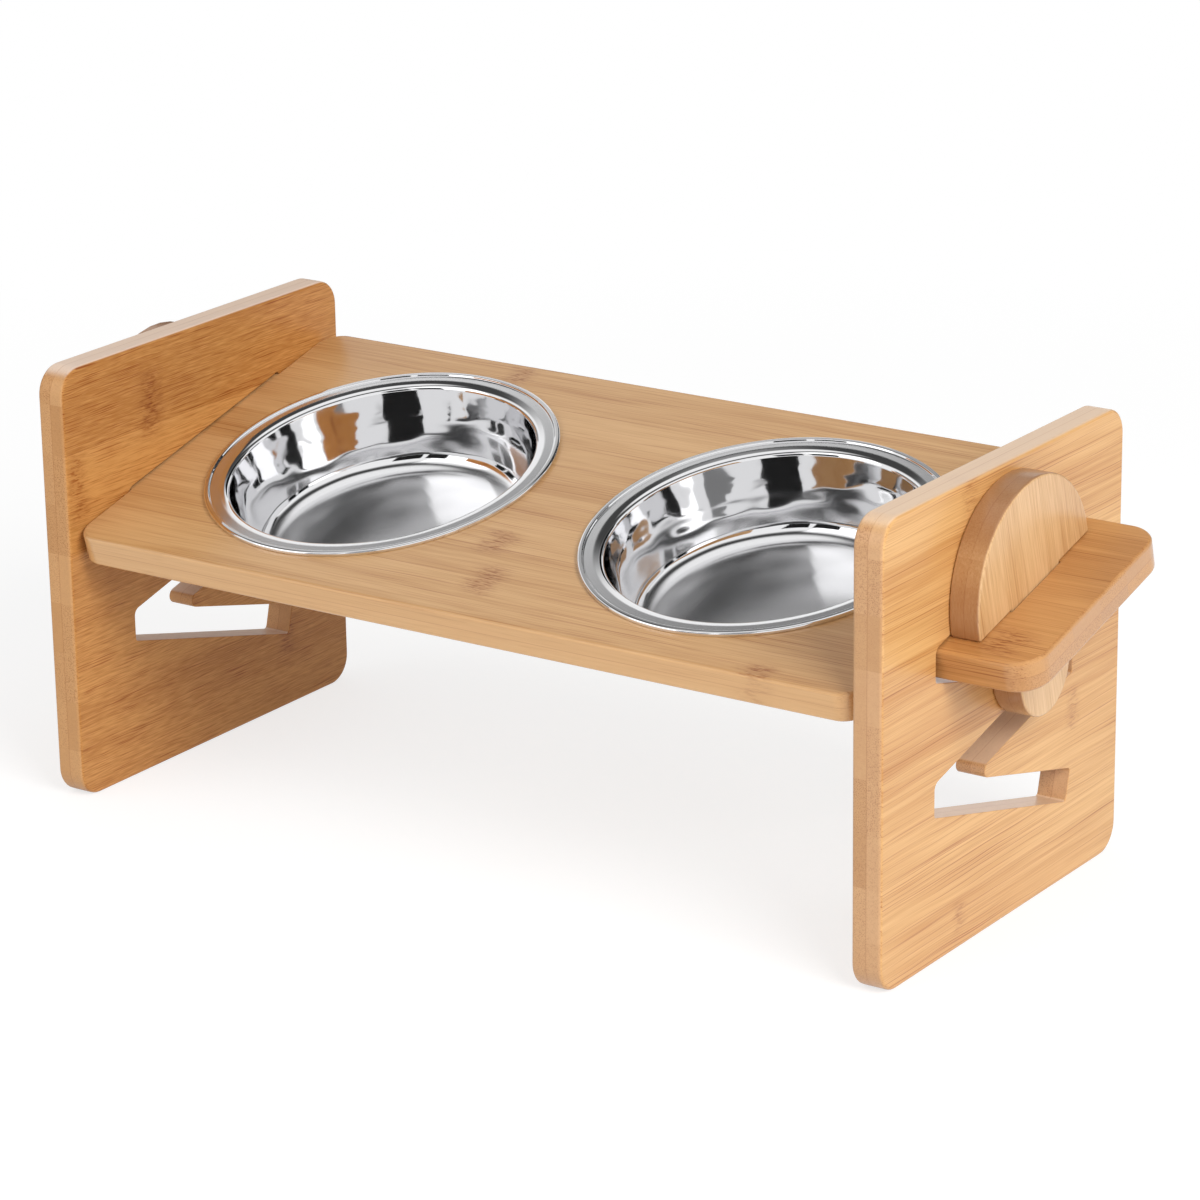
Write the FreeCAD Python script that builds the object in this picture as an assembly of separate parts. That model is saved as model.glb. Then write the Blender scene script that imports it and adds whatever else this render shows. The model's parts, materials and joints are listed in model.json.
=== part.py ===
import FreeCAD
import Part
import math
import os
from FreeCAD import Placement, Rotation, Vector

# A raised feeding stand: a tilted tray with two bowls hangs by its end tongues in zigzag slots of two side
# panels, and a half-moon key through each tongue locks the panel against the tray's shoulder.
# Millimetres. X runs along the tray, -Y is the front, Z is up. The origin is on the floor under the middle.

# Side panels
panel_depth = 171.5
panel_height = 173.5
panel_thickness = 12.0
panel_corner_radius = 11.0

# Tray board, measured in its own plane, and its end tongues
tray_tilt = 14.5
tray_length = 351.0
tray_depth = 170.5
tray_thickness = 12.0
tray_corner_radius = 10.0
tongue_width = 98.0
tongue_reach = 37.5
tongue_corner_radius = 12.0

# Zigzag slot: equal slots that lean to and fro by the tray's tilt, each one a seat for the tongue
slot_count = 4
slot_play = 0.6
slot_end_play = 1.0
slot_corner_radius = 1.5
tooth_nose_radius = 3.0

# Locking keys
key_thickness = 12.0
key_head_radius = 40.0
tenon_width = 35.6
tenon_length = 52.0
key_play = 0.3

# Eased edges of the boards and the keys
board_edge_ease = 1.2
key_edge_ease = 0.8

# Bowls
rim_diameter = 140.0
mouth_diameter = 121.0
bowl_depth = 32.0
wall_draft = 12.0
floor_corner_radius = 6.5
floor_corner_flats = 2
mouth_edge_radius = 1.5
steel = 0.7
flange_height = 1.1
bead_width = 2.4
bead_height = 1.8
hole_play = 1.2

# Places that the sizes above lead to
tilt = math.radians(tray_tilt)
slot_height = tray_thickness + slot_play
slot_length = tongue_width + 2 * slot_end_play
slot_pitch = slot_length * math.sin(tilt)
panel_inner_face = tray_length / 2
panel_outer_face = panel_inner_face + panel_thickness
key_inner_face = panel_outer_face + key_play
top_slot_height = panel_height / 2 + (slot_count - 1) / 2 * slot_pitch
bowl_centre = tray_length / 4
wall_lean = math.radians(wall_draft)
wall_slope = math.tan(wall_lean)
bowl_neck_radius = mouth_diameter / 2 - flange_height * wall_slope + steel / math.cos(wall_lean)


def rounded_corner(before, corner, after, radius):
    """Arc of that radius, tangent to the two runs that meet in a corner."""
    back = (before - corner).normalize()
    ahead = (after - corner).normalize()
    half_angle = back.getAngle(ahead) / 2
    reach = radius / math.tan(half_angle)
    middle = (back + ahead).normalize() * (radius / math.sin(half_angle) - radius)
    return Part.Arc(corner + back * reach, corner + middle, corner + ahead * reach)


def flat_corner(before, corner, after, radius):
    """Ends of the flat that touches the middle of such an arc from outside."""
    back = (before - corner).normalize()
    ahead = (after - corner).normalize()
    half_angle = back.getAngle(ahead) / 2
    reach = radius / math.tan(half_angle) - radius * math.tan((math.pi / 2 - half_angle) / 2)
    return [corner + back * reach, corner + ahead * reach]


def rounded_outline(corners):
    """Face inside straight runs that join in tangent arcs, from (a, b, radius) corners in order."""
    points = [Vector(a, b, 0) for a, b, _ in corners]
    arcs = [rounded_corner(points[i - 1], points[i], points[(i + 1) % len(points)], corners[i][2])
            for i in range(len(points))]
    runs = [Part.LineSegment(arcs[i - 1].EndPoint, arcs[i].StartPoint) for i in range(len(arcs))]
    edges = [piece.toShape() for pair in zip(runs, arcs) for piece in pair]
    return Part.Face(Part.Wire(edges))


def ease(blank, size, smallest_depth):
    """Chamfer the edges of both faces of a board that lies flat, leaving the ones with less depth square."""
    rims = [edge for edge in blank.Edges
            if edge.BoundBox.ZLength < 1e-6 and edge.BoundBox.YLength >= smallest_depth]
    return blank.makeChamfer(size, rims)


def board(corners, thickness):
    """Board of that outline, lying on the drawing plane, eased all round."""
    blank = rounded_outline(corners).extrude(Vector(0, 0, thickness))
    return ease(blank, min(board_edge_ease, thickness / 3), 0)


def stand_up(shape, x):
    """Turn a drawing of (depth, height) so that its thickness runs along +X from x."""
    return shape.transformed(Placement(Vector(x, 0, 0), Rotation(Vector(1, 1, 1), 120)).Matrix)


def seat_in_tray(shape):
    """Move a shape drawn about the middle of the tray's top face into the tilted tray's place."""
    rest = slot_play / 2 - tray_thickness / 2
    middle = Vector(0, rest * math.sin(tilt), top_slot_height - rest * math.cos(tilt))
    return shape.transformed(Placement(middle, Rotation(Vector(1, 0, 0), tray_tilt)).Matrix)


def slot_edge(step, side, y):
    """Height of a slot's ceiling (side 1) or floor (side -1) at depth y, counting slots from the top."""
    lean = (-1) ** step
    middle = top_slot_height - step * slot_pitch + lean * y * math.tan(tilt)
    return middle + side * slot_height / 2 / math.cos(tilt)


def slot_mouth(step, side):
    """Back corner of a slot's square end, for the top and the bottom slot."""
    lean = (-1) ** step
    y = slot_length / 2 * math.cos(tilt) - side * lean * slot_height / 2 * math.sin(tilt)
    return (y, slot_edge(step, side, y), slot_corner_radius)


def zigzag_corners():
    """Slots joined end to end: a plain wall outside each turn and a round-nosed tooth inside it."""
    end = slot_length / 2 * math.cos(tilt) + slot_height / 2 * math.sin(tilt)
    tooth = (slot_pitch - slot_height / math.cos(tilt)) / 2 / math.tan(tilt)
    front, back = [], []
    for step in range(slot_count - 1):
        lean = (-1) ** step
        wall_side, tooth_side = (front, back) if lean > 0 else (back, front)
        tooth_side.append((-lean * tooth, slot_edge(step, -1, -lean * tooth), tooth_nose_radius))
        wall_side.append((-lean * end, slot_edge(step, 1, -lean * end), slot_corner_radius))
        wall_side.append((-lean * end, slot_edge(step + 1, -1, -lean * end), slot_corner_radius))
    last = slot_count - 1
    top = [slot_mouth(0, 1), slot_mouth(0, -1)]
    bottom = [slot_mouth(last, 1), slot_mouth(last, -1)]
    return top + back + bottom + front[::-1]


def side_panel(x):
    half = panel_depth / 2
    corners = [(-half, 0), (half, 0), (half, panel_height), (-half, panel_height)]
    blank = board([(a, b, panel_corner_radius) for a, b in corners], panel_thickness)
    slot = rounded_outline(zigzag_corners()).extrude(Vector(0, 0, panel_thickness))
    return stand_up(blank.cut(slot), x)


def tray_corners():
    """Tray seen from above: a board with a narrower tongue at each end."""
    root_radius = 0.8 * slot_end_play
    tip = panel_outer_face + tongue_reach
    right_front = [(panel_inner_face, -tray_depth / 2, tray_corner_radius),
                   (panel_inner_face, -tongue_width / 2, root_radius),
                   (tip, -tongue_width / 2, tongue_corner_radius)]
    right_back = [(a, -b, radius) for a, b, radius in right_front[::-1]]
    right = right_front + right_back
    return right + [(-a, b, radius) for a, b, radius in right[::-1]]


def bowl_tray():
    blank = board(tray_corners(), tray_thickness)
    tray = blank.translated(Vector(0, 0, -tray_thickness))
    mortise_length = key_thickness + 2 * key_play
    mortise_width = tenon_width + 2 * key_play
    for side in (-1, 1):
        hole = Part.makeCylinder(bowl_neck_radius + hole_play, tray_thickness)
        mortise = Part.makeBox(mortise_length, mortise_width, tray_thickness)
        mortise.translate(Vector(-mortise_length / 2, -mortise_width / 2, 0))
        hole.translate(Vector(side * bowl_centre, 0, -tray_thickness))
        mortise.translate(Vector(side * (key_inner_face + key_thickness / 2), 0, -tray_thickness))
        tray = tray.cut(hole).cut(mortise)
    return seat_in_tray(tray)


def half_moon_head():
    """Half disc on the drawing plane, eased along its round edge and square along its flat underside."""
    head = Part.makeCylinder(key_head_radius, key_thickness, Vector(0, 0, 0), Vector(0, 0, 1), 180)
    return ease(head, key_edge_ease, key_head_radius / 2)


def round_ended_tenon():
    """Strip that hangs from the head's underside and ends in a half circle, eased along its sides and end."""
    half = tenon_width / 2
    straight = tenon_length - half
    strip = Part.makeBox(tenon_width, straight, key_thickness, Vector(-half, -straight, 0))
    end = Part.makeCylinder(half, key_thickness, Vector(0, -straight, 0), Vector(0, 0, 1), 180)
    end.rotate(Vector(0, -straight, 0), Vector(0, 0, 1), 180)
    return ease(strip.fuse(end).removeSplitter(), key_edge_ease, half / 2)


def locking_key(x):
    key = half_moon_head().fuse(round_ended_tenon()).removeSplitter()
    return seat_in_tray(stand_up(key, x))


def bowl_profile():
    """Half section of a bowl, as distance from its axis and height above the tray's top face."""
    rim = rim_diameter / 2
    mouth = mouth_diameter / 2
    floor = mouth - (bowl_depth + flange_height) * wall_slope
    bottom = -bowl_depth - steel
    outer_floor = bowl_neck_radius + bottom * wall_slope
    inner_corner = rounded_corner(Vector(0, -bowl_depth), Vector(floor, -bowl_depth),
                                  Vector(mouth, flange_height), floor_corner_radius)
    outer_corner = flat_corner(Vector(bowl_neck_radius, 0), Vector(outer_floor, bottom),
                               Vector(0, bottom), floor_corner_radius + steel)
    mouth_edge = rounded_corner(Vector(floor, -bowl_depth), Vector(mouth, flange_height),
                                Vector(rim, flange_height), mouth_edge_radius)
    points = [Vector(0, -bowl_depth)]
    points += inner_corner.discretize(floor_corner_flats + 1)
    points += [mouth_edge.StartPoint, mouth_edge.EndPoint]
    points += [Vector(rim - bead_width, flange_height), Vector(rim - bead_width / 2, bead_height)]
    points += [Vector(rim, flange_height), Vector(rim, 0), Vector(bowl_neck_radius, 0)]
    points += outer_corner + [Vector(0, bottom)]
    return Part.Face(Part.makePolygon(points + points[:1]))


def bowl(x):
    """Pressed steel bowl turned about its axis: flat floor, drafted wall, and a flange with a raised bead."""
    section = bowl_profile().rotated(Vector(0, 0, 0), Vector(1, 0, 0), 90)
    turned = section.revolve(Vector(0, 0, 0), Vector(0, 0, 1), 360)
    return seat_in_tray(turned.translated(Vector(x, 0, 0)))


nodes = {
    "left_side_panel": side_panel(-panel_outer_face),
    "right_side_panel": side_panel(panel_inner_face),
    "bowl_tray": bowl_tray(),
    "left_locking_key": locking_key(-key_inner_face - key_thickness),
    "right_locking_key": locking_key(key_inner_face),
    "left_bowl": bowl(-bowl_centre),
    "right_bowl": bowl(bowl_centre),
}

os.makedirs("parts", exist_ok=True)
for name, shape in nodes.items():
    shape.exportStep(f"parts/{name}.step")
    box = shape.BoundBox
    print(name, shape.ShapeType, len(shape.Solids), shape.isValid(), round(shape.Volume / 1000, 2),
          [round(v, 2) for v in (box.XMin, box.XMax, box.YMin, box.YMax, box.ZMin, box.ZMax)])
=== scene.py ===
import json
import math
import bpy
import numpy as np
from mathutils import Matrix, Vector
from mathutils.geometry import tessellate_polygon


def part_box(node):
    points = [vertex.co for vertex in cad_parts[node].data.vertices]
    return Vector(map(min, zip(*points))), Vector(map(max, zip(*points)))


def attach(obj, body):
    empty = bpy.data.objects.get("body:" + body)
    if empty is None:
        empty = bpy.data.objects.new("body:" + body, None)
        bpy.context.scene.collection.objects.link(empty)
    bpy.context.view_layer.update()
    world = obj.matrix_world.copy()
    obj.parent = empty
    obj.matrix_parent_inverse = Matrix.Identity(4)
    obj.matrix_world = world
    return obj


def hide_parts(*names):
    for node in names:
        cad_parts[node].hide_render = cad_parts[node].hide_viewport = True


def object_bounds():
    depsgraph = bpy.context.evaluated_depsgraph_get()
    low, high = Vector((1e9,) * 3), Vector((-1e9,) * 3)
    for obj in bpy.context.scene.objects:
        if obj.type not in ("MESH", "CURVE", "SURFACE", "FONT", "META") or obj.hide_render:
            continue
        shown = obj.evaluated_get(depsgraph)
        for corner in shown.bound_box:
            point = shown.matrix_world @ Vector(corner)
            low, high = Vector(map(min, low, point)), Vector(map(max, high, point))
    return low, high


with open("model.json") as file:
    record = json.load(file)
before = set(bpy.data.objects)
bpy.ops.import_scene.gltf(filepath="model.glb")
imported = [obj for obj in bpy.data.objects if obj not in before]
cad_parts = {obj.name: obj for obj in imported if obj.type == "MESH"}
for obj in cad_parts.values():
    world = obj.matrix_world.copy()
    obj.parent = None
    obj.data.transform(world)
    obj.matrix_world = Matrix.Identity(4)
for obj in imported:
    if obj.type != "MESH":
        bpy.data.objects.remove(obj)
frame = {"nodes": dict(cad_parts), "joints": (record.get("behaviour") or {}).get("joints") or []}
cadLow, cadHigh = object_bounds()

mm = 0.001

# The tray's own axes: x along the tray, v up its slope, n square to its top, the way that bowls and keys
# lift out.
liftAxis = np.array(frame["joints"][0]["axis"], float)
tilt = math.atan2(-liftAxis[1], liftAxis[2])
xAxis = np.array([1.0, 0.0, 0.0])
slopeAxis = np.array([0.0, math.cos(tilt), math.sin(tilt)])
trayAxes = np.array([xAxis, slopeAxis, liftAxis / np.linalg.norm(liftAxis)])


def nodePoints(node, axes):
    # A node's points, measured along the given axes.
    mesh = frame["nodes"][node].data
    flat = np.empty(3 * len(mesh.vertices), np.float32)
    mesh.vertices.foreach_get("co", flat)
    return flat.reshape(-1, 3).astype(float) @ axes.T


def span(points, axis):
    return points[:, axis].min(), points[:, axis].max()


# sizes read from the frame
panelLow, panelHigh = (np.array(corner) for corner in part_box("right_side_panel"))
panelThick = panelHigh[0] - panelLow[0]
trayPoints = nodePoints("bowl_tray", trayAxes)
trayUnder, trayTop = span(trayPoints, 2)
trayFront, trayBack = span(trayPoints, 1)
trayMid = (trayFront + trayBack) / 2
trayTip = trayPoints[:, 0].max()
trayThick = trayTop - trayUnder
tonguePoints = trayPoints[trayPoints[:, 0] > panelHigh[0]]
tongueWidth = np.ptp(tonguePoints[:, 1])
keyPoints = nodePoints("right_locking_key", trayAxes)
keyInner, keyOuter = span(keyPoints, 0)
keyRadius = np.ptp(keyPoints[:, 1]) / 2
tenonPoints = keyPoints[keyPoints[:, 2] < trayUnder]
tenonWidth = np.ptp(tenonPoints[:, 1])
tenonLength = trayTop - keyPoints[:, 2].min()
bowlPoints = nodePoints("right_bowl", trayAxes)
bowlAcross = sum(span(bowlPoints, 0)) / 2
rimRadius = np.ptp(bowlPoints[:, 0]) / 2
holeRadius = np.hypot(trayPoints[:, 0] - bowlAcross, trayPoints[:, 1] - trayMid).min()
print("tilt", round(math.degrees(tilt), 2), "tray", round(trayThick / mm, 2),
      "tongue", round(tongueWidth / mm, 2), "hole", round(holeRadius / mm, 2),
      "tenon", round(tenonWidth / mm, 2), round(tenonLength / mm, 2))

arcSteps = 10  # segments in each rounded corner of an outline
edgeSteps = 5  # segments in each rounded edge of a board


def roundedPath(corners):
    # Each corner (a, b, radius) turns into an arc that touches both its runs. Its centre is on the corner's
    # bisector and its spokes turn evenly from one run to the other. The way out is on the right of the
    # travel.
    spec = np.array(corners, float)
    points, radius = spec[:, :2], spec[:, 2:]
    back = np.roll(points, 1, 0) - points
    ahead = np.roll(points, -1, 0) - points
    back /= np.linalg.norm(back, axis=1, keepdims=True)
    ahead /= np.linalg.norm(ahead, axis=1, keepdims=True)
    half = np.arccos((back * ahead).sum(1, keepdims=True)) / 2
    bisector = (back + ahead) / np.linalg.norm(back + ahead, axis=1, keepdims=True)
    centre = points + bisector * radius / np.sin(half)
    firstSpoke = (points + back * radius / np.tan(half) - centre) / radius
    lastSpoke = (points + ahead * radius / np.tan(half) - centre) / radius
    turn = (math.pi - 2 * half)[:, :, None]
    share = np.linspace(0, 1, arcSteps + 1)[None, :, None]
    spokes = np.sin((1 - share) * turn) * firstSpoke[:, None] + np.sin(share * turn) * lastSpoke[:, None]
    spokes /= np.sin(turn)
    side = np.sign(back[:, 1] * ahead[:, 0] - back[:, 0] * ahead[:, 1])[:, None, None]
    path = centre[:, None] + radius[:, None] * spokes
    return path.reshape(-1, 2), (spokes * side).reshape(-1, 2)


def circlePath(across, along, radius, steps):
    # A hole's edge, travelled clockwise so that the wood is on the left and the way out points to the middle.
    angle = -np.linspace(0, 2 * math.pi, steps, endpoint=False)
    ray = np.stack([np.cos(angle), np.sin(angle)], 1)
    return np.array([across, along]) + radius * ray, -ray


def putPiece(name, points, faces, normals, material):
    mesh = bpy.data.meshes.new(name)
    mesh.from_pydata(points.tolist(), [], faces)
    mesh.polygons.foreach_set("use_smooth", np.ones(len(mesh.polygons), bool))
    mesh.normals_split_custom_set_from_vertices(normals.tolist())
    mesh.materials.append(material)
    mesh.update()
    piece = bpy.data.objects.new(name, mesh)
    bpy.context.scene.collection.objects.link(piece)
    return piece


def loopSides(path, out, rounding, thickness):
    # The edge of a board: a quarter round, a flat and a quarter round carried along the outline. At slope b
    # the edge is taken in by r(1 - cos b) and its normal leans from the way out by b.
    quarter = np.linspace(0, math.pi / 2, edgeSteps + 1)
    slope = np.concatenate([quarter - math.pi / 2, quarter])
    inset = rounding * (1 - np.cos(slope))
    height = np.where(slope < 0, rounding, thickness - rounding) + rounding * np.sin(slope)
    height[edgeSteps] = rounding
    flat = path[:, None] - out[:, None] * inset[None, :, None]
    points = np.dstack([flat, np.broadcast_to(height, flat.shape[:2])])
    lean = out[:, None] * np.cos(slope)[None, :, None]
    normals = np.dstack([lean, np.broadcast_to(np.sin(slope), flat.shape[:2])])
    return points, normals


def gridQuads(rows, columns, first):
    # Faces of a grid whose rows close round: each row joins the next one, and the last joins the first.
    row = np.arange(rows)[:, None]
    step = np.arange(columns - 1)[None, :]
    here = first + row * columns + step
    there = first + (row + 1) % rows * columns + step
    return np.stack([here, there, there + 1, here + 1], -1).reshape(-1, 4)


def boardPiece(name, loops, thickness, axes, origin, material):
    # A board is its outlines' rounded edges and two flat faces between them, drawn along axes[0] and axes[1]
    # and standing along axes[2] from the origin. Each outline is (path, way out, rounding), with the wood on
    # its left.
    points, normals, quads, rims, rimIndex = [], [], [], [], []
    columns = 2 * edgeSteps + 2
    first = 0
    for path, out, rounding in loops:
        rows = len(path)
        grid, lean = loopSides(path, out, rounding, thickness)
        points.append(grid.reshape(-1, 3))
        normals.append(lean.reshape(-1, 3))
        quads.append(gridQuads(rows, columns, first))
        rims.append(grid[:, -1] * [1, 1, 0])
        rimIndex.append(first + np.arange(rows) * columns)
        first += rows * columns
    triangles = np.array(tessellate_polygon([list(map(Vector, rim)) for rim in rims]))
    flat = np.concatenate(rims)[:, :2]
    sideA = flat[triangles[:, 1]] - flat[triangles[:, 0]]
    sideB = flat[triangles[:, 2]] - flat[triangles[:, 0]]
    turned = sideA[:, 0] * sideB[:, 1] < sideA[:, 1] * sideB[:, 0]
    triangles[turned] = triangles[turned][:, ::-1]
    under = np.concatenate(rimIndex)[triangles]
    faces = np.concatenate(quads).tolist() + (under + columns - 1).tolist() + under[:, ::-1].tolist()
    place = np.concatenate(points) @ axes + origin
    return putPiece(name, place, faces, np.concatenate(normals) @ axes, material)


def lathePiece(name, section, sides, axes, origin, material):
    # A turned shell: the section (r, h) goes round the third axis, with one point at each end on the axis
    # itself. Its normal is the section's direction turned left by a quarter.
    radius, height = section[1:-1].T
    columns = len(height)
    angle = np.linspace(0, 2 * math.pi, sides, endpoint=False)[:, None]
    level = np.broadcast_to(height, (sides, columns))
    ring = np.stack([radius * np.cos(angle), radius * np.sin(angle), level], -1)
    along = np.gradient(section, axis=0)[1:-1]
    outward, upward = np.stack([-along[:, 1], along[:, 0]]) / np.linalg.norm(along, axis=1)
    lean = np.broadcast_to(upward, (sides, columns))
    normal = np.stack([outward * np.cos(angle), outward * np.sin(angle), lean], -1)
    ends = np.array([[0, 0, section[0, 1]], [0, 0, section[-1, 1]]])
    points = np.concatenate([ring.reshape(-1, 3), ends])
    normals = np.concatenate([normal.reshape(-1, 3), [[0, 0, 1], [0, 0, -1]]])
    quads = gridQuads(sides, columns, 0)[:, ::-1]
    here = np.arange(sides) * columns
    there = np.roll(here, -1)
    count = sides * columns
    floorFan = np.stack([here, there, np.full(sides, count)], 1)
    baseFan = np.stack([there + columns - 1, here + columns - 1, np.full(sides, count + 1)], 1)
    faces = quads.tolist() + floorFan.tolist() + baseFan.tolist()
    return putPiece(name, points @ axes + origin, faces, normals @ axes, material)


# Material nodes
white = (1.0, 1.0, 1.0, 1.0)
noiseRoughness = 0.6  # how much the finer layers of a noise count


def newMaterial(name):
    material = bpy.data.materials.new(name)
    material.use_nodes = True
    material.node_tree.nodes.clear()
    return material, material.node_tree


def addNode(tree, kind, inputs, **settings):
    node = tree.nodes.new(kind)
    for key, value in settings.items():
        setattr(node, key, value)
    for key, value in inputs.items():
        if isinstance(value, bpy.types.NodeSocket):
            tree.links.new(value, node.inputs[key])
        else:
            node.inputs[key].default_value = value
    return node


def calc(tree, operation, *values):
    return addNode(tree, "ShaderNodeMath", dict(enumerate(values)), operation=operation).outputs[0]


def easeStep(tree, value, low, high, start=0.0, end=1.0):
    inputs = {"Value": value, "From Min": low, "From Max": high, "To Min": start, "To Max": end}
    return addNode(tree, "ShaderNodeMapRange", inputs, interpolation_type="SMOOTHSTEP").outputs[0]


def blendColour(tree, share, first, second, mode="MIX"):
    inputs = {0: share, 6: first, 7: second}
    return addNode(tree, "ShaderNodeMix", inputs, data_type="RGBA", blend_type=mode).outputs[2]


def shade(red, green, blue):
    # Written as seen on screen, stored as light, by the curve of screen colours.
    screen = np.array([red, green, blue])
    light = np.where(screen > 0.04045, ((screen + 0.055) / 1.055) ** 2.4, screen / 12.92)
    return (*light.tolist(), 1.0)


def stain(tree, colour, share, tint):
    # The colour times a tint, by the given share.
    return blendColour(tree, share, colour, shade(*tint), "MULTIPLY")


def stretchNoise(tree, places, sizes, detail=1.0, distortion=0.0):
    # Noise whose blobs measure about the given sizes along the grain, across it and through the board.
    scaled = [calc(tree, "DIVIDE", place, size) for place, size in zip(places, sizes)]
    vector = addNode(tree, "ShaderNodeCombineXYZ", dict(enumerate(scaled))).outputs[0]
    inputs = {"Vector": vector, "Scale": 1.0, "Detail": detail, "Roughness": noiseRoughness,
              "Distortion": distortion}
    return addNode(tree, "ShaderNodeTexNoise", inputs).outputs[0]


def facing(tree, vector, axis):
    inputs = {0: vector, 1: tuple(axis)}
    return addNode(tree, "ShaderNodeVectorMath", inputs, operation="DOT_PRODUCT").outputs["Value"]


def boardPlaces(tree, coordinates, axes, origin):
    # Millimetres from the origin along each of three axes.
    inputs = {0: coordinates.outputs["Object"], 1: tuple(origin)}
    moved = addNode(tree, "ShaderNodeVectorMath", inputs, operation="SUBTRACT").outputs[0]
    return [calc(tree, "MULTIPLY", facing(tree, moved, axis), 1 / mm) for axis in axes]


def seamLine(tree, place, halfLine):
    # 1 in a thin line where the place crosses a whole number.
    offset = calc(tree, "ABSOLUTE", calc(tree, "SUBTRACT", calc(tree, "FRACT", place), 0.5))
    return easeStep(tree, offset, 0.5 - halfLine, 0.5)


# Bamboo, in millimetres along the grain, across it and through the board. A range is where an eased step
# starts and ends, with the values that it gives there where they aren't 0 and 1.
bambooLook = dict(
    seed=1.0, stripWidth=20.0, stripShift=0.0, stripSlide=700.0, stripTone=0.3, plyThick=6.0,
    waveSize=(60, 12, 12), waviness=2.4,
    fibreSize=(55, 1.0, 1.0), fibreTone=0.9, fineSize=(13, 0.6, 0.6), fineTone=1.0,
    cloudSize=(150, 9, 9), cloudTone=0.9, pale=(0.86, 0.65, 0.41), deep=(0.70, 0.46, 0.23),
    lineSize=(40, 0.42, 0.42), lineRange=(0.54, 0.72), lineClouds=(0.3, 0.65, 0.35, 1.0),
    lineTone=0.95, lineColour=(0.78, 0.60, 0.42),
    stemJoints=(), jointTone=1.0, jointColour=(0.74, 0.58, 0.42),
    seamHalf=0.012, seamTone=0.2, plyHalf=0.05, plyTone=0.35,
    tongueStart=0.0, tongueFade=2.0, tongueTint=(1, 1, 1),
    # edge colours: facing up paler, painted sheen; facing down darker, painted shade; over the edge tone
    sideRange=(0.6, 0.95), sideTone=0.75, upEdgeAndPaintedLight=(0.92, 0.81, 0.70), downEdgeAndPaintedShade=(0.66, 0.46, 0.29),
    endRange=(0.5, 0.85), endTone=0.8, endPale=(0.84, 0.66, 0.49), endDeep=(0.76, 0.57, 0.39),
    speckSize=(60, 0.45, 0.45), gritRange=(0.48, 0.7), gritCells=(0.2, 0.8, 0.15, 1.0),
    gritTone=0.55, gritColour=(0.74, 0.60, 0.46),
    roughness=0.45, roughSpread=0.16, gloss=0.5, lacquer=0.8, lacquerRough=0.25,
    lineDip=0.7, bumpStrength=0.14, bumpDepth=0.0003)
stemLook = dict(waverSize=(400, 4, 4), waverReach=11.0, plateau=0.4, dashSize=(5.0, 0.8, 0.8),
                dashDistortion=0.4, dashRange=(0.44, 0.66), dashShare=0.78, shadowShare=0.22)


def stemMarks(tree, places, joints, look):
    # A stem joint is a band across one or two strips: short dashes lie along the grain inside a soft window,
    # whose middle line wavers from fibre to fibre. Each joint is its middle along and across the grain, half
    # its length and half its height.
    along, across = places[:2]
    waver = stretchNoise(tree, places, look["waverSize"])
    shifted = calc(tree, "MULTIPLY_ADD", calc(tree, "SUBTRACT", waver, 0.5), look["waverReach"], along)
    window = 0.0
    for jointAlong, jointAcross, halfLong, halfHigh in joints:
        aside = calc(tree, "ABSOLUTE", calc(tree, "SUBTRACT", shifted, jointAlong))
        above = calc(tree, "ABSOLUTE", calc(tree, "SUBTRACT", across, jointAcross))
        spot = calc(tree, "MULTIPLY", easeStep(tree, aside, halfLong, 0.0),
                    easeStep(tree, above, halfHigh, look["plateau"] * halfHigh))
        window = calc(tree, "MAXIMUM", window, spot)
    grain = stretchNoise(tree, places, look["dashSize"], detail=2.0, distortion=look["dashDistortion"])
    dashes = easeStep(tree, grain, *look["dashRange"])
    strength = calc(tree, "MULTIPLY_ADD", dashes, look["dashShare"], look["shadowShare"])
    return calc(tree, "MULTIPLY", window, strength)


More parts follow.
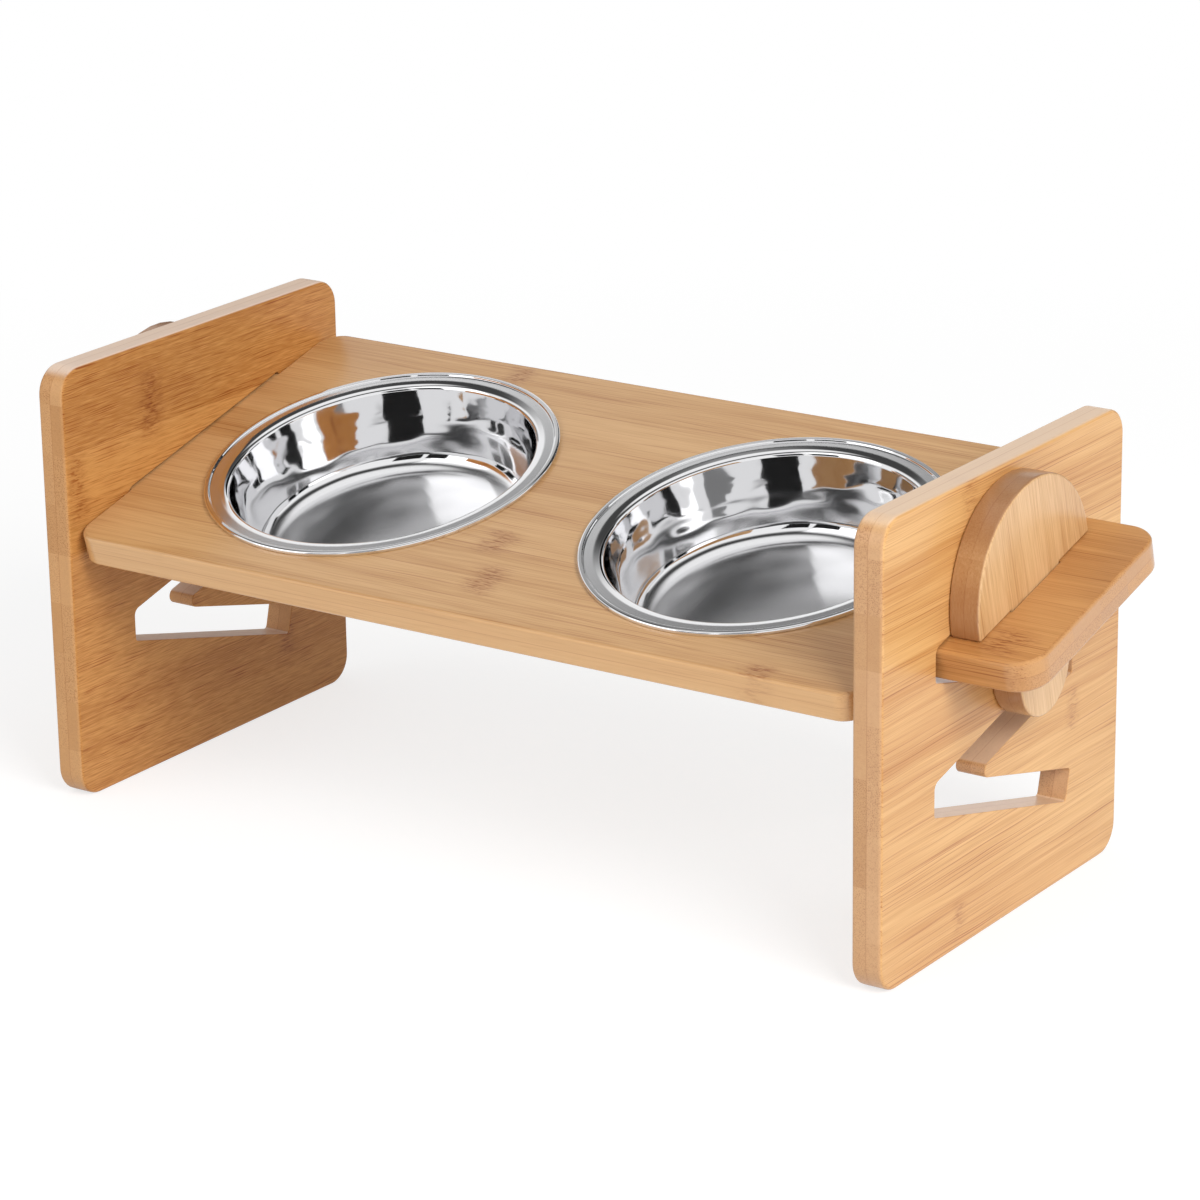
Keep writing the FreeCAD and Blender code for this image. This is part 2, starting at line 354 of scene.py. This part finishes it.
def bambooMaterial(name, look, axes, origin):
    # Glued bamboo strips in plies. Each strip of each ply has a tone of its own and its fibres start
    # elsewhere. Long thin noise gives the fibres, thinner noise above a limit the dark lines, wide noise the
    # clouds. Faces square to the grain show end grain in blocks.
    material, tree = newMaterial(name)
    coordinates = addNode(tree, "ShaderNodeTexCoord", {})
    flatPlaces = boardPlaces(tree, coordinates, axes, origin)
    along, across, through = flatPlaces
    normal = coordinates.outputs["Normal"]
    endDot = calc(tree, "ABSOLUTE", facing(tree, normal, axes[0]))
    sideDot = facing(tree, normal, axes[1])
    endFace = easeStep(tree, endDot, *look["endRange"])
    upSide = easeStep(tree, sideDot, *look["sideRange"])
    downSide = easeStep(tree, calc(tree, "MULTIPLY", sideDot, -1.0), *look["sideRange"])

    # strips, and the noises that each strip cuts from another place
    stripPlace = calc(tree, "ADD", calc(tree, "DIVIDE", across, look["stripWidth"]), look["stripShift"])
    plyPlace = calc(tree, "DIVIDE", through, look["plyThick"])
    cellPlace = {0: calc(tree, "FLOOR", stripPlace), 1: calc(tree, "FLOOR", plyPlace), 2: look["seed"]}
    cell = addNode(tree, "ShaderNodeCombineXYZ", cellPlace).outputs[0]
    chance = addNode(tree, "ShaderNodeTexWhiteNoise", {"Vector": cell}, noise_dimensions="3D")
    stripChance, blockChance, gritChance = addNode(
        tree, "ShaderNodeSeparateColor", {0: chance.outputs["Color"]}).outputs
    slide = calc(tree, "MULTIPLY_ADD", chance.outputs["Value"], look["stripSlide"], along)
    wave = stretchNoise(tree, flatPlaces, look["waveSize"])
    bent = calc(tree, "MULTIPLY_ADD", calc(tree, "SUBTRACT", wave, 0.5), look["waviness"], across)
    places = (slide, bent, through)
    fibre = stretchNoise(tree, places, look["fibreSize"], detail=3.0)
    line = stretchNoise(tree, places, look["lineSize"])
    fine = stretchNoise(tree, places, look["fineSize"])
    cloud = stretchNoise(tree, places, look["cloudSize"], detail=2.0)
    speck = stretchNoise(tree, places, look["speckSize"])

    # long grain: tone, dark lines, stem joints and glue lines
    tone = 0.5
    tones = ((fibre, "fibreTone"), (cloud, "cloudTone"), (fine, "fineTone"), (stripChance, "stripTone"))
    for source, strength in tones:
        tone = calc(tree, "MULTIPLY_ADD", calc(tree, "SUBTRACT", source, 0.5), look[strength], tone)
    colour = blendColour(tree, easeStep(tree, tone, 0.0, 1.0), shade(*look["pale"]), shade(*look["deep"]))
    lineMask = calc(tree, "MULTIPLY", easeStep(tree, line, *look["lineRange"]),
                    easeStep(tree, cloud, *look["lineClouds"]))
    colour = stain(tree, colour, calc(tree, "MULTIPLY", lineMask, look["lineTone"]), look["lineColour"])
    if look["stemJoints"]:
        marks = stemMarks(tree, flatPlaces, look["stemJoints"], stemLook)
        colour = stain(tree, colour, calc(tree, "MULTIPLY", marks, look["jointTone"]), look["jointColour"])
    stripLine = calc(tree, "MULTIPLY", seamLine(tree, stripPlace, look["seamHalf"]), look["seamTone"])
    colour = stain(tree, colour, stripLine, look["lineColour"])

    # sides, and past its shoulders the tray's tongues, which are handled more and have gone a deeper brown
    sideTone = look["sideTone"]
    if look["tongueStart"]:
        tongueFull = look["tongueStart"] + look["tongueFade"]
        tongue = easeStep(tree, calc(tree, "ABSOLUTE", along), look["tongueStart"], tongueFull)
        colour = stain(tree, colour, tongue, look["tongueTint"])
        sideTone = calc(tree, "MULTIPLY_ADD", tongue, -sideTone, sideTone)
    # edge colours: the edge tone, with painted sheen on edges facing up and painted shade on edges facing
    # down
    colour = blendColour(tree, calc(tree, "MULTIPLY", upSide, sideTone), colour, shade(*look["upEdgeAndPaintedLight"]))
    colour = blendColour(tree, calc(tree, "MULTIPLY", downSide, sideTone), colour, shade(*look["downEdgeAndPaintedShade"]))

    # end grain: blocks, specks and the glue lines between plies
    block = blendColour(tree, blockChance, shade(*look["endPale"]), shade(*look["endDeep"]))
    colour = blendColour(tree, calc(tree, "MULTIPLY", endFace, look["endTone"]), colour, block)
    gritMask = calc(tree, "MULTIPLY", easeStep(tree, speck, *look["gritRange"]),
                    easeStep(tree, gritChance, *look["gritCells"]))
    grit = calc(tree, "MULTIPLY", endFace, calc(tree, "MULTIPLY", gritMask, look["gritTone"]))
    colour = stain(tree, colour, grit, look["gritColour"])
    cutFace = calc(tree, "MAXIMUM", endFace, calc(tree, "MAXIMUM", upSide, downSide))
    plyLine = calc(tree, "MULTIPLY", seamLine(tree, plyPlace, look["plyHalf"]),
                   calc(tree, "MULTIPLY", cutFace, look["plyTone"]))
    colour = stain(tree, colour, plyLine, look["lineColour"])

    smoothest = look["roughness"] - look["roughSpread"] / 2
    rough = calc(tree, "MULTIPLY_ADD", fibre, look["roughSpread"], smoothest)
    heightMap = calc(tree, "ADD", fibre, calc(tree, "MULTIPLY", line, -look["lineDip"]))
    bump = addNode(tree, "ShaderNodeBump", {"Height": heightMap, "Strength": look["bumpStrength"],
                                            "Distance": look["bumpDepth"]}).outputs[0]
    finish = {"Base Color": colour, "Roughness": rough, "Normal": bump, "Specular IOR Level": look["gloss"],
              "Coat Weight": look["lacquer"], "Coat Roughness": look["lacquerRough"]}
    surface = addNode(tree, "ShaderNodeBsdfPrincipled", finish).outputs[0]
    addNode(tree, "ShaderNodeOutputMaterial", {"Surface": surface})
    return material


# Side panels
panelShape = dict(cornerRadius=11 * mm, edgeRounding=1.4 * mm, slotRounding=0.35 * mm, slotCount=4,
                  slotPlay=0.6 * mm, slotEndPlay=1.0 * mm, endGap=0.35 * mm, slotCorner=1.5 * mm,
                  turnCorner=3.2 * mm, toothNose=3.0 * mm)
panelLook = dict(bambooLook, seed=3.0, lacquer=0.45)
leftLook = dict(
    panelLook, seed=5.0, fibreSize=(40, 1.0, 1.0), fineSize=(8, 0.6, 0.6), fineTone=1.3,
    # edges facing up paler still: painted sheen
    lineSize=(24, 0.5, 0.5), pale=(0.83, 0.60, 0.34), deep=(0.70, 0.46, 0.22), upEdgeAndPaintedLight=(0.97, 0.89, 0.82),
    endPale=(0.85, 0.66, 0.46), endDeep=(0.77, 0.57, 0.37), gloss=0.25, lacquer=0.15,
    stemJoints=((-34, 149, 11, 18), (-79, 126, 8, 18), (46, 30, 8, 11)))
rightLook = dict(
    panelLook, fibreSize=(120, 1.4, 1.4), fineSize=(30, 0.5, 0.5), fineTone=0.6,
    lineSize=(120, 0.5, 0.5), lineTone=0.9, pale=(0.92, 0.73, 0.48), deep=(0.79, 0.56, 0.31),
    stemJoints=((-27, 168, 8, 9), (50, 66, 7, 11), (-31, 12, 6, 8)), jointTone=0.6)


def zigzagPath(shape):
    # Slots a little longer than the tongue is wide lean to and fro by the tray's tilt and join end to end: a
    # plain wall outside each turn and a round-nosed tooth inside it. Travelled clockwise, as a hole is. The
    # pitch comes from the solid's slots, which have more play at their ends.
    slotHigh = trayThick + shape["slotPlay"]
    halfSlot = tongueWidth / 2 + shape["endGap"]
    pitch = (tongueWidth + 2 * shape["slotEndPlay"]) * math.sin(tilt)
    last = shape["slotCount"] - 1
    topSlot = (panelLow[2] + panelHigh[2]) / 2 + last / 2 * pitch
    end = halfSlot * math.cos(tilt) + slotHigh / 2 * math.sin(tilt)
    tooth = (pitch - slotHigh / math.cos(tilt)) / 2 / math.tan(tilt)

    def edge(step, side, y, radius):
        # A corner on a slot's ceiling (side 1) or floor (side -1), counting slots from the top.
        lean = (-1) ** step
        middle = topSlot - step * pitch + lean * y * math.tan(tilt)
        return (y, middle + side * slotHigh / 2 / math.cos(tilt), radius)

    def mouth(step, side):
        # A back corner of the square end that the top and the bottom slot have.
        lean = (-1) ** step
        y = halfSlot * math.cos(tilt) - side * lean * slotHigh / 2 * math.sin(tilt)
        return edge(step, side, y, shape["slotCorner"])

    front, back = [], []
    for step in range(last):
        lean = (-1) ** step
        wallSide, toothSide = (front, back) if lean > 0 else (back, front)
        toothSide.append(edge(step, -1, -lean * tooth, shape["toothNose"]))
        wallSide.append(edge(step, 1, -lean * end, shape["turnCorner"]))
        wallSide.append(edge(step + 1, -1, -lean * end, shape["slotCorner"]))
    corners = [mouth(0, 1), mouth(0, -1)] + back + [mouth(last, 1), mouth(last, -1)] + front[::-1]
    return roundedPath(corners)


def panelPiece(side, shape, look):
    # A board with round corners that stands on its lower edge, drawn in depth and height.
    low, high = panelLow[1:], panelHigh[1:]
    corners = [(low[0], low[1]), (high[0], low[1]), (high[0], high[1]), (low[0], high[1])]
    outline = roundedPath([(*corner, shape["cornerRadius"]) for corner in corners])
    loops = [(*outline, shape["edgeRounding"]), (*zigzagPath(shape), shape["slotRounding"])]
    start = panelLow[0] if side == "right" else -panelHigh[0]
    axes = np.array([[0, 1, 0], [0, 0, 1], [1, 0, 0]], float)
    origin = np.array([start, 0, 0])
    material = bambooMaterial(f"{side}PanelBamboo", look, axes, origin)
    piece = boardPiece(f"{side}_panel_board", loops, panelThick, axes, origin, material)
    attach(piece, "stand")
    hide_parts(f"{side}_side_panel")


panelPiece("left", panelShape, leftLook)
panelPiece("right", panelShape, rightLook)
print("panels done")

# Tray
trayShape = dict(cornerRadius=10 * mm, edgeRounding=1.3 * mm, rootRadius=0.3 * mm, tongueCorner=12 * mm,
                 holeRounding=0.5 * mm, holeSteps=128, mortiseRounding=0.3 * mm, mortiseCorner=0.5 * mm,
                 keyPlay=0.3 * mm)
trayLook = dict(
    bambooLook, seed=8.0, fibreSize=(100, 1.2, 1.2), fibreTone=0.8, fineSize=(22, 0.5, 0.5), fineTone=0.8,
    lineSize=(80, 0.5, 0.5), lineTone=0.75, pale=(0.86, 0.685, 0.475), deep=(0.755, 0.56, 0.345),
    sideTone=0.55, upEdgeAndPaintedLight=(0.90, 0.70, 0.46), downEdgeAndPaintedShade=(0.91, 0.71, 0.47), endPale=(0.80, 0.59, 0.36),
    tongueStart=176.0, tongueTint=(0.95, 0.88, 0.78),
    stemJoints=((-8, -36, 11, 11), (3, -61, 11, 13), (-75, 77, 9, 8),
                (134, -84, 10, 9), (208, -36, 13, 12), (-196, 22, 10, 11)))


def trayPiece(shape, look):
    # A board with a narrower tongue at each end, two round holes, and a mortise through each tongue.
    shoulder = panelLow[0]
    halfDepth = (trayBack - trayFront) / 2
    halfTongue = tongueWidth / 2
    front = [(shoulder, -halfDepth, shape["cornerRadius"]), (shoulder, -halfTongue, shape["rootRadius"]),
             (trayTip, -halfTongue, shape["tongueCorner"])]
    corners = front + [(a, -b, radius) for a, b, radius in front[::-1]]
    corners = corners + [(-a, -b, radius) for a, b, radius in corners]
    loops = [(*roundedPath(corners), shape["edgeRounding"])]
    mortiseMid = (keyInner + keyOuter) / 2
    halfLong = (keyOuter - keyInner) / 2 + shape["keyPlay"]
    halfWide = tenonWidth / 2 + shape["keyPlay"]
    for side in (-1, 1):
        hole = circlePath(side * bowlAcross, 0, holeRadius, shape["holeSteps"])
        near, far = side * mortiseMid - halfLong, side * mortiseMid + halfLong
        mortise = [(near, -halfWide), (near, halfWide), (far, halfWide), (far, -halfWide)]
        mortisePath = roundedPath([(*corner, shape["mortiseCorner"]) for corner in mortise])
        loops.append((*hole, shape["holeRounding"]))
        loops.append((*mortisePath, shape["mortiseRounding"]))
    origin = np.array([0, trayMid, trayUnder]) @ trayAxes
    material = bambooMaterial("trayBamboo", look, trayAxes, origin)
    piece = boardPiece("tray_board", loops, trayThick, trayAxes, origin, material)
    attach(piece, "stand")
    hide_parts("bowl_tray")


trayPiece(trayShape, trayLook)
print("tray done")

# Locking keys
keyShape = dict(headInset=1.2 * mm, headCorner=1.1 * mm, neckCorner=0.3 * mm, edgeRounding=1.0 * mm,
                tenonRoundness=0.995)  # share of the half width, short of 1 so that its two arcs stay apart
keyLook = dict(
    bambooLook, seed=14.0, stripShift=0.5, lineTone=0.5, pale=(0.90, 0.74, 0.54), deep=(0.80, 0.62, 0.41),
    # edges and end grain much darker than the faces: painted shade on the rim, over the grain's own tone
    upEdgeAndPaintedLight=(0.60, 0.39, 0.23), downEdgeAndPaintedShade=(0.60, 0.39, 0.23), endPale=(0.61, 0.41, 0.25),
    endDeep=(0.57, 0.37, 0.21), gritTone=0.3)


def keyPiece(side, shape, look):
    # Outline up the slope and along the lift axis from the tray's top: a half moon over a strip that ends
    # half round. The grain runs along the lift axis.
    half = tenonWidth / 2
    rightHalf = [(half, -tenonLength, half * shape["tenonRoundness"]), (half, 0, shape["neckCorner"]),
                 (keyRadius, 0, shape["headCorner"]), (keyRadius, keyRadius, keyRadius - shape["headInset"])]
    corners = rightHalf + [(-a, b, radius) for a, b, radius in rightHalf[::-1]]
    loops = [(*roundedPath(corners), shape["edgeRounding"])]
    start = keyInner if side == "right" else -keyOuter
    origin = np.array([start, trayMid, trayTop]) @ trayAxes
    axes = trayAxes[[1, 2, 0]]
    grainAxes = trayAxes[[2, 1, 0]]
    material = bambooMaterial(f"{side}KeyBamboo", look, grainAxes, origin)
    piece = boardPiece(f"{side}_key_board", loops, keyOuter - keyInner, axes, origin, material)
    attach(piece, f"{side}_key")
    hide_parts(f"{side}_locking_key")


keyPiece("left", keyShape, dict(keyLook, seed=17.0))
keyPiece("right", keyShape, keyLook)
print("keys done")

# Bowls
bowlShape = dict(mouthRadius=60.5 * mm, depth=32 * mm, draft=math.radians(12), sheet=0.7 * mm,
                 floorCorner=7.5 * mm, floorDish=0.6 * mm, floorRings=10, axisCorner=0.01 * mm,
                 mouthEdge=2.4 * mm, lipWidth=3.5 * mm, lipDrop=0.55 * mm, lipRound=5 * mm,
                 flangeTop=1.1 * mm, grooveTop=1.0 * mm, beadWidth=2.4 * mm, beadTop=1.8 * mm,
                 beadRound=0.85 * mm, underGap=0.05 * mm, sides=192)
# millimetres from the bowl's axis and the tray's top, and how much each part of it is duller
steelLook = dict(colour=(0.92, 0.92, 0.925), polish=0.02, ringSize=0.25, ringPolish=0.04,
                 smearSize=9.0, smearPolish=0.02, floorTop=-28.5, floorFade=3.0, floorPolish=0.15,
                 flangeStart=63.0, flangeFadeIn=1.5, flangeEnd=66.8, flangeFadeOut=0.8, flangePolish=0.2,
                 wallTop=-3.0, wallFade=4.0, dentSize=(28.0, 28.0, 15.0), dentDepth=0.0007)


def steelMaterial(name, look, origin):
    # Polished steel. Fine rings round the axis and slow smears dull the polish a little, the floor and the
    # flange are brushed, and slow dents in the drawn wall bend its reflections.
    material, tree = newMaterial(name)
    coordinates = addNode(tree, "ShaderNodeTexCoord", {})
    places = boardPlaces(tree, coordinates, trayAxes, origin)
    across, along, high = places
    radius = calc(tree, "SQRT", calc(tree, "ADD", calc(tree, "MULTIPLY", across, across),
                                     calc(tree, "MULTIPLY", along, along)))
    ringSize, smearSize = look["ringSize"], look["smearSize"]
    rings = stretchNoise(tree, (radius, high, 0.0), (ringSize, ringSize, 1.0), detail=2.0)
    smear = stretchNoise(tree, places, (smearSize, smearSize, smearSize), detail=2.0)
    onFloor = easeStep(tree, high, look["floorTop"], look["floorTop"] - look["floorFade"])
    onWall = calc(tree, "MULTIPLY", easeStep(tree, high, look["wallTop"], look["wallTop"] - look["wallFade"]),
                  calc(tree, "SUBTRACT", 1.0, onFloor))
    flangeIn = easeStep(tree, radius, look["flangeStart"], look["flangeStart"] + look["flangeFadeIn"])
    flangeOut = easeStep(tree, radius, look["flangeEnd"] + look["flangeFadeOut"], look["flangeEnd"])
    onFlange = calc(tree, "MULTIPLY", flangeIn, flangeOut)
    rough = look["polish"]
    for place, strength in ((rings, "ringPolish"), (smear, "smearPolish"), (onFloor, "floorPolish"),
                            (onFlange, "flangePolish")):
        rough = calc(tree, "MULTIPLY_ADD", place, look[strength], rough)
    dent = stretchNoise(tree, places, look["dentSize"])
    bump = addNode(tree, "ShaderNodeBump", {"Height": dent, "Strength": onWall,
                                            "Distance": look["dentDepth"]}).outputs[0]
    finish = {"Base Color": shade(*look["colour"]), "Metallic": 1.0, "Roughness": rough, "Normal": bump}
    surface = addNode(tree, "ShaderNodeBsdfPrincipled", finish).outputs[0]
    addNode(tree, "ShaderNodeOutputMaterial", {"Surface": surface})
    return material


def bowlPiece(side, shape, look):
    # Section from the middle of the floor up the inside, over the mouth edge, lip, flange and bead, and back
    # underneath. The two corners on the axis only close it, and their arcs are cut off. The floor is dished:
    # at a share s of its radius it lies lower by floorDish times 1 - s squared.
    slope = math.tan(shape["draft"])
    mouth, depth, sheet, flange = shape["mouthRadius"], shape["depth"], shape["sheet"], shape["flangeTop"]
    floorRadius = mouth - (depth + flange) * slope
    neck = mouth - flange * slope + sheet / math.cos(shape["draft"])
    bottom = -depth - sheet
    bead = rimRadius - shape["beadWidth"]
    beadRound = shape["beadRound"]
    corners = [(0, -depth, shape["axisCorner"]), (floorRadius, -depth, shape["floorCorner"]),
               (mouth - shape["lipDrop"] * slope, flange - shape["lipDrop"], shape["mouthEdge"]),
               (mouth + shape["lipWidth"], flange, shape["lipRound"]),
               (bead, shape["grooveTop"], beadRound / 2),
               (bead + beadRound / 2, shape["beadTop"], beadRound / 2),
               (rimRadius, shape["beadTop"], beadRound), (rimRadius, shape["underGap"], beadRound / 3),
               (neck, shape["underGap"], beadRound / 2),
               (neck + bottom * slope, bottom, shape["floorCorner"] + sheet),
               (0, bottom, shape["axisCorner"])]
    section = roundedPath(corners)[0][arcSteps + 1:-arcSteps - 1]
    rings = np.linspace(0, 1, shape["floorRings"], endpoint=False)
    sag = shape["floorDish"] * (1 - rings ** 2)
    inside = np.stack([rings * section[0, 0], -depth - sag], 1)
    outside = np.stack([rings * section[-1, 0], bottom - sag], 1)
    section = np.concatenate([inside, section, outside[::-1]])
    across = bowlAcross if side == "right" else -bowlAcross
    origin = np.array([across, trayMid, trayTop]) @ trayAxes
    material = steelMaterial(f"{side}BowlSteel", look, origin)
    piece = lathePiece(f"{side}_bowl_shell", section, shape["sides"], trayAxes, origin, material)
    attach(piece, f"{side}_dish")
    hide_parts(f"{side}_bowl")


bowlPiece("left", bowlShape, steelLook)
bowlPiece("right", bowlShape, steelLook)
print("bowls done")

# Floor, light and background, in metres and watts. The dim band and the box overhead are what mirrors see of
# the sky, by the height of the direction, where 1 is straight up.
studio = dict(
    floorHalf=8.0, floorColour=(0.93, 0.93, 0.93), floorGlow=0.72, floorShown=0.36,
    fadeStart=0.45, fadeEnd=0.9, ambient=0.50,
    dimmest=0.06, dimStart=0.55, dimFull=0.72, boxStart=0.81, boxFull=0.91,
    lamps={"key_lamp": dict(place=(1.5, -0.7, 1.2), size=1.0, power=26.0, inMirrors=False),
           "fill_lamp": dict(place=(-1.0, -1.7, 1.1), size=1.9, power=9.0, inMirrors=True)},
    flags={"left_flag": dict(middle=(-1.2, 0.05, 0.3), wide=1.1, high=0.6, tone=0.25),
           "near_flag": dict(middle=(-0.21, -1.2, 0.3), wide=0.42, high=0.6, tone=0.015),
           "front_flag": dict(middle=(0.3, -1.2, 0.3), wide=0.4, high=0.6, tone=0.015),
           "back_flag": dict(middle=(0.2, 1.2, 0.3), wide=0.4, high=0.6, tone=0.015),
           "corner_flag": dict(middle=(-0.8, 0.9, 0.3), wide=0.4, high=0.55, tone=0.06),
           "far_flag": dict(middle=(0.8, 1.0, 0.3), wide=0.3, high=0.6, tone=0.015),
           "right_flag": dict(middle=(1.3, 0.35, 0.3), wide=0.35, high=0.6, tone=0.015),
           "high_flag": dict(middle=(0.02, 1.2, 0.93), wide=1.3, high=0.46, tone=0.015)})


def seenRay(tree):
    # 1 for what the camera, a mirror or glass looks at, 0 for light on its way to the object.
    path = addNode(tree, "ShaderNodeLightPath", {})
    mirror = calc(tree, "MAXIMUM", path.outputs["Is Camera Ray"], path.outputs["Is Glossy Ray"])
    return calc(tree, "MAXIMUM", mirror, path.outputs["Is Transmission Ray"])


def stagePlane(name, corners, material):
    mesh = bpy.data.meshes.new(name)
    mesh.from_pydata(np.array(corners).tolist(), [], [(0, 1, 2, 3)])
    mesh.materials.append(material)
    plane = bpy.data.objects.new(name, mesh)
    bpy.context.scene.collection.objects.link(plane)
    return plane


def makeFloor(studio):
    # What is seen of the floor is a glow and a little of its own light, so the shadow stays, and it fades to
    # plain white with the distance from the middle.
    material, tree = newMaterial("paleFloor")
    ownLight = (studio["floorShown"], studio["floorShown"], studio["floorShown"], 1.0)
    plain = addNode(tree, "ShaderNodeBsdfDiffuse", {"Color": shade(*studio["floorColour"])}).outputs[0]
    shadowed = addNode(tree, "ShaderNodeBsdfDiffuse", {"Color": ownLight}).outputs[0]
    glow = addNode(tree, "ShaderNodeEmission", {"Color": white, "Strength": studio["floorGlow"]}).outputs[0]
    near = addNode(tree, "ShaderNodeAddShader", {0: shadowed, 1: glow}).outputs[0]
    far = addNode(tree, "ShaderNodeEmission", {"Color": white, "Strength": 1.0}).outputs[0]
    place = addNode(tree, "ShaderNodeTexCoord", {}).outputs["Object"]
    distance = addNode(tree, "ShaderNodeVectorMath", {0: place}, operation="LENGTH").outputs["Value"]
    fade = easeStep(tree, distance, studio["fadeStart"], studio["fadeEnd"])
    shown = addNode(tree, "ShaderNodeMixShader", {0: fade, 1: near, 2: far}).outputs[0]
    both = addNode(tree, "ShaderNodeMixShader", {0: seenRay(tree), 1: plain, 2: shown}).outputs[0]
    addNode(tree, "ShaderNodeOutputMaterial", {"Surface": both})
    half = studio["floorHalf"]
    corners = [(-half, -half, 0), (half, -half, 0), (half, half, 0), (-half, half, 0)]
    stagePlane("studio_floor", corners, material)


def makeFlags(studio):
    # Dark cards that face the middle of the floor and that only mirrors see, to draw the shape of polished
    # metal. One side of each is level, and the other rises square to it.
    for name, card in studio["flags"].items():
        material, tree = newMaterial(f"{name}Card")
        cardColour = (card["tone"], card["tone"], card["tone"], 1.0)
        glow = addNode(tree, "ShaderNodeEmission", {"Color": cardColour, "Strength": 1.0}).outputs[0]
        addNode(tree, "ShaderNodeOutputMaterial", {"Surface": glow})
        middle = np.array(card["middle"])
        level = np.cross([0, 0, 1], middle)
        rise = np.cross(middle, level)
        level *= card["wide"] / 2 / np.linalg.norm(level)
        rise *= card["high"] / 2 / np.linalg.norm(rise)
        corners = [middle - level - rise, middle + level - rise, middle + level + rise, middle - level + rise]
        flag = stagePlane(name, corners, material)
        flag.visible_camera = False
        flag.visible_diffuse = False
        flag.visible_shadow = False
        flag.visible_transmission = False


def makeWorld(studio):
    # White all round for what is seen, for mirrors a dim band below a white box overhead, and an even soft
    # light on the object.
    world = bpy.data.worlds.new("studio")
    bpy.context.scene.world = world
    world.use_nodes = True
    tree = world.node_tree
    tree.nodes.clear()
    direction = addNode(tree, "ShaderNodeTexCoord", {}).outputs["Generated"]
    rise = addNode(tree, "ShaderNodeSeparateXYZ", {0: direction}).outputs["Z"]
    dimming = calc(tree, "MULTIPLY", easeStep(tree, rise, studio["dimStart"], studio["dimFull"]),
                   easeStep(tree, rise, studio["boxStart"], studio["boxFull"], 1.0, 0.0))
    ceiling = calc(tree, "MULTIPLY_ADD", dimming, studio["dimmest"] - 1.0, 1.0)
    path = addNode(tree, "ShaderNodeLightPath", {})
    mirrored = blendColour(tree, path.outputs["Is Glossy Ray"], white, ceiling)
    soft = addNode(tree, "ShaderNodeBackground", {"Color": white, "Strength": studio["ambient"]}).outputs[0]
    seen = addNode(tree, "ShaderNodeBackground", {"Color": mirrored, "Strength": 1.0}).outputs[0]
    both = addNode(tree, "ShaderNodeMixShader", {0: seenRay(tree), 1: soft, 2: seen}).outputs[0]
    addNode(tree, "ShaderNodeOutputWorld", {"Surface": both})


def makeLamps(studio, target):
    for name, lamp in studio["lamps"].items():
        light = bpy.data.lights.new(name, "AREA")
        light.size = lamp["size"]
        light.energy = lamp["power"]
        holder = bpy.data.objects.new(name, light)
        holder.location = lamp["place"]
        holder.visible_glossy = lamp["inMirrors"]
        holder.rotation_euler = (Vector(target) - Vector(lamp["place"])).to_track_quat("-Z", "Y").to_euler()
        bpy.context.scene.collection.objects.link(holder)


makeFloor(studio)
makeFlags(studio)
makeWorld(studio)
makeLamps(studio, (np.array(cadLow) + np.array(cadHigh)) / 2)
print("studio done")

# Camera, as the photograph was taken. Angles are degrees, lens and sensor are millimetres, and the shift is
# in shares of the frame's width.
view = dict(azimuth=34.95, elevation=18.50, roll=-0.996, distance=1.7082, height=86.64 * mm,
            lens=135.15, sensor=36.0, shiftX=0.0226, shiftY=0.0053)


def makeCamera(view):
    # Looks at a point over the middle of the floor from the given angles, turned about its own line of sight.
    azimuth, elevation, roll = (math.radians(view[key]) for key in ("azimuth", "elevation", "roll"))
    back = Vector((math.sin(azimuth) * math.cos(elevation), -math.cos(azimuth) * math.cos(elevation),
                   math.sin(elevation)))
    level = Vector((math.cos(azimuth), math.sin(azimuth), 0))
    rise = back.cross(level)
    right = math.cos(roll) * level + math.sin(roll) * rise
    up = math.cos(roll) * rise - math.sin(roll) * level
    lens = bpy.data.cameras.new("photo_camera")
    lens.lens = view["lens"]
    lens.sensor_width = view["sensor"]
    lens.shift_x = view["shiftX"]
    lens.shift_y = view["shiftY"]
    camera = bpy.data.objects.new("photo_camera", lens)
    turn = Matrix((right, up, back)).transposed().to_4x4()
    place = Vector((0, 0, view["height"])) + back * view["distance"]
    camera.matrix_world = Matrix.Translation(place) @ turn
    bpy.context.scene.collection.objects.link(camera)
    bpy.context.scene.camera = camera


makeCamera(view)
bpy.context.scene.view_settings.view_transform = "Standard"
